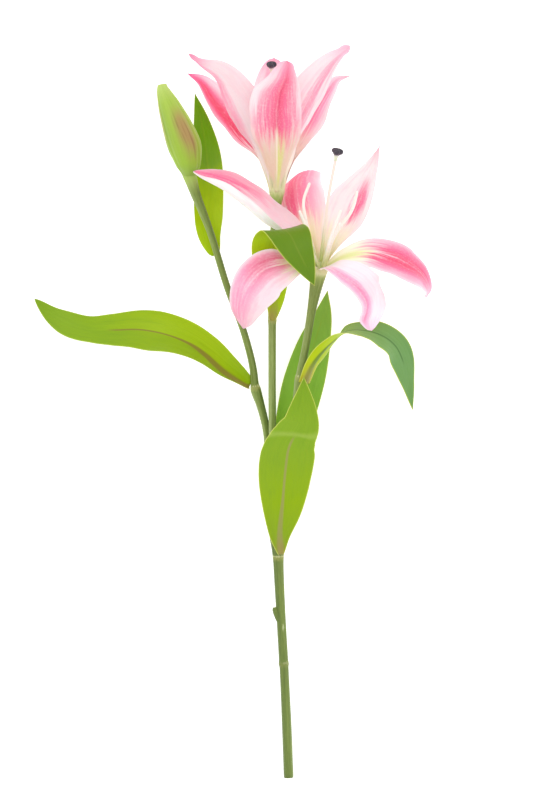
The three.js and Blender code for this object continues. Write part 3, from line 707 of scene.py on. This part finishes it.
def add_tepals():
    for number, (name, row) in enumerate(TEPALS.items()):
        tepal = SimpleNamespace(**BLADE | TEPAL | row)
        skin = tepal_material(name, tepal, number)
        add_piece(f"{name}_tepal", skin, blade_surface(tepal, TEPAL_SEED + number))


def tapered(path, radii):
    """The path sunk into its base, with the radii spread along it."""
    sizes = np.interp(np.linspace(0, 1, len(path)), np.linspace(0, 1, len(radii)), radii)
    return [(*place, size) for place, size in zip(sunk(path), sizes)]


def add_filaments():
    """The six filaments of each bloom, and the style among them with its stigma."""
    cream = filament_material("filament", (250, 240, 232), (222, 228, 160))
    pale = filament_material("style", (244, 226, 214), (216, 224, 150))
    for bloom, paths in FILAMENTS.items():
        for number, path in enumerate(paths, 1):
            end, way = end_of(path)
            tip = (*(end + FILAMENT_TIP * way), FILAMENT_RADII[-1] * TIP_SHARE)
            thread = rod_surface([[*tapered(path, FILAMENT_RADII), tip]], per_span=14, sides=20)
            add_piece(f"{bloom}_filament_{number}", cream, thread)
    for bloom, path in STYLES.items():
        style = rod_surface([tapered(path, STYLE_RADII)], per_span=16, sides=24)
        add_piece(f"{bloom}_style", pale, style)
        add_stigma(bloom, path)


def add_stigma(bloom, path):
    """A pale cone that opens into three grainy dark lobes."""
    rng = np.random.default_rng(STIGMA_SEED)
    end, way = end_of(path)
    points = [(*(end + way * distance), radius * STIGMA_SIZE[bloom]) for distance, radius in STIGMA_STEPS]
    name = f"{bloom}_stigma"
    head = rod_surface([points], per_span=9, sides=60, shape=lobes, depth=1.6)
    piece = add_piece(name, stigma_material(name), head)
    raise_grains(piece.data, unit(rng.normal(size=(STIGMA_GRAINS, 3))))


def raise_grains(mesh, grains):
    """Moves the vertices of the dark part out and in, as small round grains in the directions given."""
    count = len(mesh.vertices)
    places = np.empty(count * 3)
    normals = np.empty(count * 3)
    along = np.empty(count)
    mesh.vertices.foreach_get("co", places)
    mesh.vertices.foreach_get("normal", normals)
    mesh.attributes["along"].data.foreach_get("value", along)
    normals = normals.reshape(-1, 3)
    nearness = (normals @ grains.T).max(1)
    lift = GRAIN_HEIGHT * np.clip((nearness - 0.93) / 0.07, 0, 1) ** 0.7 - GRAIN_DIP
    dark = np.clip((along - 0.55) / 0.12, 0, 1)
    places += (normals * (lift * dark)[:, None] * MM).ravel()
    mesh.vertices.foreach_set("co", places)
    mesh.update()


# ---- Materials


def srgb(colour):
    """A colour given as 0 to 255 a channel, as light."""
    shares = [channel / 255 for channel in colour]
    return tuple(c / 12.92 if c < 0.04045 else ((c + 0.055) / 1.055) ** 2.4 for c in shares)


class Look:
    """One material, with short calls for the nodes that its look is made of."""

    def __init__(self, name, roughness, mirror=0.5):
        self.material = bpy.data.materials.new(f"{name}_skin")
        self.material.use_nodes = True
        self.tree = self.material.node_tree
        self.shader = self.tree.nodes["Principled BSDF"]
        self.colour = None
        self.fix("Roughness", roughness)
        self.fix("Specular IOR Level", mirror)

    def fix(self, label, value):
        """Gives an input of the shader one value all over the surface."""
        self.shader.inputs[label].default_value = value

    def plug(self, socket, value):
        """Links an output to the socket, or sets the socket to a number, a colour or an (x, y, z)."""
        if isinstance(value, bpy.types.NodeSocket):
            self.tree.links.new(value, socket)
        elif socket.type == "RGBA":
            socket.default_value = (*srgb(value), 1)
        elif socket.type == "VECTOR":
            joined = self.node("CombineXYZ", dict(zip("XYZ", value)))
            self.tree.links.new(joined.outputs[0], socket)
        else:
            socket.default_value = value

    def node(self, kind, inputs, **settings):
        """A new node with these settings, and a value or a link in each input given."""
        node = self.tree.nodes.new(f"ShaderNode{kind}")
        for label, value in settings.items():
            setattr(node, label, value)
        for label, value in inputs.items():
            self.plug(node.inputs[label], value)
        return node

    def number(self, label):
        """What each vertex holds under this label."""
        return self.node("Attribute", {}, attribute_name=label).outputs["Fac"]

    def math(self, operation, first, second=0, clamp=False):
        node = self.node("Math", {0: first, 1: second}, operation=operation, use_clamp=clamp)
        return node.outputs[0]

    def add(self, total, *others):
        for value in others:
            total = self.math("ADD", total, value)
        return total

    def times(self, product, *others):
        for value in others:
            product = self.math("MULTIPLY", product, value)
        return product

    def shaken(self, value, noise, amount):
        """The value, moved by this much of a noise."""
        return self.add(value, self.times(noise, amount))

    def less(self, first, second):
        return self.math("SUBTRACT", first, second)

    def away(self, value, centre=0):
        """How far a value is from a centre."""
        return self.math("ABSOLUTE", self.less(value, centre))

    def rising(self, value, low, high):
        """0 below low, 1 above high, with a soft turn between."""
        inputs = {"Value": value, "From Min": low, "From Max": high}
        return self.node("MapRange", inputs, interpolation_type="SMOOTHSTEP").outputs["Result"]

    def falling(self, value, low, high):
        return self.less(1, self.rising(value, low, high))

    def noise(self, place, scale, detail=3):
        """Soft noise from about -0.5 to 0.5."""
        node = self.node("TexNoise", {"Vector": place, "Scale": scale, "Detail": detail})
        return self.less(node.outputs["Fac"], 0.5)

    def blade_noise(self, across, along, seed, scale, detail=3):
        """Noise on a leaf or tepal, packed this closely across it and along it."""
        x = self.times(self.number("across"), across)
        y = self.times(self.number("along"), along)
        return self.noise((x, y, seed), scale, detail)

    def stops(self, value, colours):
        """A run of colours, given as {place: colour}."""
        node = self.node("ValToRGB", {"Fac": value})
        elements = node.color_ramp.elements
        for index, (spot, colour) in enumerate(sorted(colours.items())):
            element = elements[index] if index < 2 else elements.new(spot)
            element.position = spot
            element.color = (*srgb(colour), 1)
        return node.outputs["Color"]

    def mix(self, share, first, second):
        """The first colour where share is 0, and the second where it is 1."""
        node = self.node("Mix", {0: share, 6: first, 7: second}, data_type="RGBA")
        return node.outputs[2]  # this output and the inputs 6 and 7 are the ones that hold colours

    def paint(self, colour, *shares):
        """Lays a colour over what is there, as thick as the shares multiplied together."""
        self.colour = self.mix(self.times(*shares), self.colour, colour)

    def bump(self, height, distance, strength):
        node = self.node("Bump", {"Height": height, "Distance": distance, "Strength": strength})
        self.plug(self.shader.inputs["Normal"], node.outputs[0])

    def soft(self, weight, scale=0.002):
        """Light passes a little way into the surface."""
        self.fix("Subsurface Weight", weight)
        self.fix("Subsurface Scale", scale)
        self.fix("Subsurface Radius", (1, 0.6, 0.5))

    def finished(self):
        self.plug(self.shader.inputs["Base Color"], self.colour)
        return self.material


def stem_material(name, length):
    """Olive green, paler at the top, with faint streaks and old leaf scars."""
    looks = SimpleNamespace(**STALK | STEM_LOOKS[name])
    look = Look(name, roughness=0.45, mirror=0.3)
    distance = look.number("distance")
    front = look.number("around")
    right = look.number("around2")
    streak = look.noise((front, right, look.times(distance, 0.008)), 2.2)
    fine = look.noise((front, right, look.times(distance, 0.03)), 7, 4)
    tone = look.add(look.times(streak, 0.6), look.times(fine, 0.35), 0.5 + looks.light)
    # Painted light and shade: one side of the stem is lighter and the other darker, by side.
    tone = look.add(tone, look.times(right, looks.side))
    look.colour = look.stops(tone, {0.2: (92, 110, 50), 0.5: (121, 139, 65), 0.8: (158, 174, 106)})
    look.paint(STEM_TOP, look.rising(distance, length - 14, length + 2), 0.85)
    look.paint(looks.top, look.rising(look.shaken(distance, fine, 6), length - 5, length + 3))
    for spot, strength in looks.scars:
        ragged = look.shaken(look.away(distance, spot), fine, 9)
        look.paint(SCAR, look.falling(ragged, 0.4, 3), 0.4 * strength)
        crack = look.shaken(look.away(distance, spot + 1.5), streak, 7)
        look.paint(CRACK, look.falling(crack, 0.1, 0.5), 0.5 * strength)
    if looks.flake:
        off = look.add(look.away(distance, looks.flake), look.times(look.away(right, 0.35), 9))
        torn = look.falling(look.shaken(off, fine, 20), 1, 3)
        look.paint(TORN, torn, look.rising(front, 0, 0.3), 0.6)
    look.paint(CUT_END, look.rising(look.number("end"), 0.05, 0.3))
    look.bump(look.add(streak, fine), 0.0006, 0.35)
    look.soft(0.08)
    return look.finished()


def bud_material():
    """Pale green, with a brown-pink flush on the side that faces up, darker lines and painted shade down its
    left side.
    """
    look = Look("bud", roughness=0.42, mirror=0.3)
    along = look.number("along")
    right = look.number("around2")
    front = look.number("around")
    lines = look.noise((right, front, look.times(along, 0.3)), 9, 4)
    cloud = look.noise((right, front, look.times(along, 3)), 1.4)
    look.colour = look.stops(
        look.shaken(along, lines, 0.16),
        {0: (142, 168, 70), 0.15: (152, 184, 54), 0.45: (158, 184, 66), 0.8: (166, 194, 74),
         1: (186, 208, 108)},
    )
    look.paint(BUD_LINES, look.rising(lines, 0.02, 0.2), 0.3)
    # Painted shade: the left side of the bud is darker green about its middle.
    left = look.falling(right, -0.9, -0.2)
    look.paint(BUD_SHADE, left, look.falling(look.away(along, 0.6), 0.05, 0.4), 0.45)
    spot = look.away(look.shaken(look.shaken(along, lines, 0.15), cloud, 0.2), 0.46)
    flush = look.times(look.falling(spot, 0.04, 0.34), look.falling(look.away(right, 0.38), 0.1, 0.72))
    flush = look.times(flush, look.rising(front, 0, 0.5))
    look.paint(BUD_FLUSH, flush, 0.9)
    look.paint(BUD_GRAIN, flush, look.rising(lines, -0.02, 0.2), 0.6)
    look.paint(BUD_EDGE, look.falling(right, -1, -0.88), look.rising(along, 0.3, 0.6), 0.4)
    look.bump(lines, 0.0005, 0.5)
    look.soft(0.1)
    return look.finished()


def leaf_material(name, leaf, number):
    """Greens that change along the leaf, partly painted light shining through it, with fine parallel veins,
    a midrib, a light edge and a painted highlight along a fold.
    """
    look = Look(name, roughness=0.36, mirror=0.18)
    along = look.number("along")
    across = look.number("across")
    wide = look.number("width_mm")
    veins = look.blade_noise(8, 0.8, number, 3, 4)
    cloud = look.blade_noise(1.6, 4, number + 0.5, 1.6)
    place = look.shaken(along, cloud, 0.22)
    # Partly painted light: the bright yellow-green in these colours stands for light shining through the
    # leaf.
    under, upper = look.stops(place, leaf.under), look.stops(place, leaf.upper)
    look.colour = look.mix(look.number("inner"), under, upper)
    look.paint(leaf.shade, look.rising(veins, -0.02, 0.25), 0.16)
    look.paint(leaf.shade, look.rising(cloud, 0, 0.3), 0.12)
    rib_place = look.times(look.falling(along, 0, 0.3), leaf.rib_side)
    left = look.falling(look.less(across, rib_place), -0.12, 0.08)
    look.paint(leaf.shade, left, look.falling(along, 0.5, 0.85), leaf.dark_side)
    off = look.times(look.away(across, rib_place), wide)
    reach = look.add(leaf.rib_width, look.times(look.falling(along, 0, 0.4), leaf.rib_base))
    rib = look.falling(look.math("DIVIDE", off, reach), 0.5, 1.15)
    fading = look.falling(along, leaf.rib_end - 0.06, leaf.rib_end)
    look.paint(leaf.rib_colour, rib, fading, leaf.rib)
    look.paint(LEAF_ROOT, look.falling(along, 0.02, 0.14), look.falling(off, 1.5, 6), leaf.root)
    margin = look.times(look.less(1, look.away(across)), wide)
    edge = look.falling(look.shaken(margin, cloud, 0.5), 0.2, 0.8)
    look.paint(leaf.edge_colour, edge, leaf.edge)
    # Painted highlight: a pale band along the fold across the leaf.
    if leaf.crease:
        off = look.away(look.add(along, look.times(across, -CREASE_SLANT)), leaf.crease)
        look.paint(LEAF_FOLD_HIGHLIGHT, look.falling(off, 0, 0.022), 0.24)
    look.bump(veins, 0.0005, 0.35)
    look.soft(0.05)
    return look.finished()


def paint_band(look, tepal, ragged, grain):
    """The streaked band of pink along a tepal, with its darker middle and the line on the midrib."""
    along = look.number("along")
    centre = look.add(tepal.centre, look.times(look.less(along, 0.5), tepal.lean))
    sideways = look.away(look.number("across"), centre)
    narrowing = look.less(1, look.times(look.less(1, along), tepal.flare))
    off = look.shaken(look.times(sideways, narrowing), ragged, tepal.feather)
    band = look.falling(off, tepal.band * 0.4, tepal.band * 1.15)
    first = look.rising(look.shaken(along, ragged, 0.8), tepal.start - 0.1, tepal.start + 0.14)
    last = look.falling(look.shaken(along, ragged, 0.5), tepal.stop - 0.16, tepal.stop + 0.08)
    mottle = look.add(look.times(ragged, tepal.mottle), look.times(grain, 1.1))
    streaks = look.math("ADD", 0.84, mottle, clamp=True)
    share = look.add(tepal.share, look.times(look.number("inner"), 1 - tepal.share))
    mask = look.times(band, first, last, streaks, tepal.strength, share)
    look.paint(tepal.pink, mask)
    near = look.falling(look.add(sideways, ragged), 0.02, tepal.deep_width)
    fading = look.falling(along, tepal.deep_stop - 0.25, tepal.deep_stop)
    look.paint(tepal.deep_pink, near, fading, mask, tepal.deep)
    look.paint(TEPAL_LINE, look.falling(sideways, 0.01, 0.05), mask, tepal.line)


def paint_throat(look, tepal, reach):
    """The cream base of a tepal, with a green stripe and a pale ridge in it."""
    across = look.number("across")
    base = look.falling(reach, tepal.throat * 0.55, tepal.throat * 1.25)
    look.paint(tepal.cream, base, 0.92)
    stripe = look.falling(look.away(across, tepal.green_at), 0.06, tepal.green_width)
    look.paint(TEPAL_GREEN, base, stripe, tepal.green)
    lower = look.falling(look.number("along"), 0.42, 0.52)
    look.paint(TEPAL_RIDGE, look.falling(look.away(across), 0.01, 0.06), lower, tepal.ridge)


def tepal_material(name, tepal, number):
    """Pale, with a streaked hot pink band, a pale margin and a cream and green throat."""
    look = Look(name, roughness=0.5, mirror=0.3)
    along = look.number("along")
    streak = look.blade_noise(2, 0.5, number * 1.7, 2.2, 4)
    fibre = look.blade_noise(5, 2.2, number * 2.1, 2.4, 5)
    cloud = look.blade_noise(1.6, 3, number * 2.3, 1.8)
    grain = look.blade_noise(7, 26, number, 2.2)
    ragged = look.add(look.times(streak, 0.7), look.times(fibre, 0.5))
    reach = look.shaken(along, ragged, 0.4)
    look.colour = look.mix(look.number("inner"), tepal.outside, tepal.inside)
    look.paint(tepal.blush_pink, look.rising(look.add(cloud, ragged), -0.12, 0.3), tepal.blush)
    paint_band(look, tepal, ragged, grain)
    paint_throat(look, tepal, reach)
    look.paint(tepal.tip_pink, look.rising(along, 0.82, 1), tepal.tip)
    margin = look.rising(look.shaken(look.away(look.number("across")), cloud, 0.3), 0.78, 1)
    look.paint(TEPAL_MARGIN, margin, look.falling(along, 0.8, 0.97), tepal.margin)
    look.paint(TEPAL_ROOT, look.falling(reach, 0.03, 0.14), tepal.root)
    look.paint(TEPAL_SPECKS, look.rising(grain, -0.05, 0.3), 0.16)
    look.bump(look.shaken(fibre, grain, 0.25), 0.0006, 0.4)
    look.soft(0.25)
    look.fix("Sheen Weight", 0.1)
    return look.finished()


def filament_material(name, upper, lower):
    """One colour at the foot that fades into another above it."""
    look = Look(name, roughness=0.5)
    along = look.number("along")
    lines = look.noise((look.number("around"), look.number("around2"), look.times(along, 5)), 4)
    look.colour = look.mix(look.rising(look.shaken(along, lines, 0.2), 0.05, 0.5), lower, upper)
    look.bump(lines, 0.0003, 0.4)
    look.soft(0.2, 0.001)
    return look.finished()


def stigma_material(name):
    """A pale green cone and a dark purple-grey head with lighter specks."""
    look = Look(name, roughness=0.55)
    along = look.number("along")
    grains = look.noise(look.node("TexCoord", {}).outputs["Object"], 900)
    look.colour = look.stops(
        look.shaken(along, grains, 0.1),
        {0: (214, 220, 180), 0.42: (226, 228, 206), 0.54: (170, 162, 168), 0.62: (66, 56, 70),
         1: (52, 46, 56)},
    )
    look.paint(STIGMA_SPECKS, look.rising(grains, 0.05, 0.3), look.rising(along, 0.55, 0.7), 0.4)
    look.bump(grains, 0.0004, 0.6)
    return look.finished()


# ---- Room


def add_floor():
    """A wide pale floor that glows a little, so that shadows on it stay faint."""
    mesh = bpy.data.meshes.new("floor")
    corners = [(-1, -1), (1, -1), (1, 1), (-1, 1)]
    mesh.from_pydata([(x * FLOOR_REACH, y * FLOOR_REACH, 0) for x, y in corners], [], [(0, 1, 2, 3)])
    look = Look("floor", roughness=0.9)
    look.colour = (250, 250, 250)
    look.fix("Emission Color", (1, 1, 1, 1))
    look.fix("Emission Strength", FLOOR_GLOW)
    mesh.materials.append(look.finished())
    linked("floor", mesh)


def add_light(name, place, size, watts):
    """A square lamp that points at the middle of the floor, with its place and size in metres."""
    light = bpy.data.lights.new(name, "AREA")
    light.shape = "SQUARE"
    light.size = size
    light.energy = watts
    x, y, z = place
    lamp = linked(name, light, place)
    lamp.rotation_euler = (math.atan2(math.hypot(x, y), z), 0, math.atan2(-y, -x) - math.pi / 2)


def add_lights():
    """Two soft lamps and an even white light all round."""
    add_light("key", (-1.4, 1.6, 2.6), 2.0, KEY_WATTS)
    add_light("fill", (1.8, -0.9, 2.2), 2.4, FILL_WATTS)
    world = bpy.data.worlds.new("studio")
    world.use_nodes = True
    background = world.node_tree.nodes["Background"]
    background.inputs["Color"].default_value = (1, 1, 1, 1)
    background.inputs["Strength"].default_value = WORLD_STRENGTH
    bpy.context.scene.world = world
    bpy.context.scene.view_settings.view_transform = "Standard"


def add_camera():
    """A long lens that looks straight down."""
    camera = bpy.data.cameras.new("camera")
    camera.sensor_width = 36
    camera.lens = CAMERA_LENS
    camera.clip_end = 20
    bpy.context.scene.camera = linked("camera", camera, CAMERA_PLACE)


add_stems()
add_bud()
add_leaves()
add_tepals()
add_filaments()
add_floor()
add_lights()
add_camera()
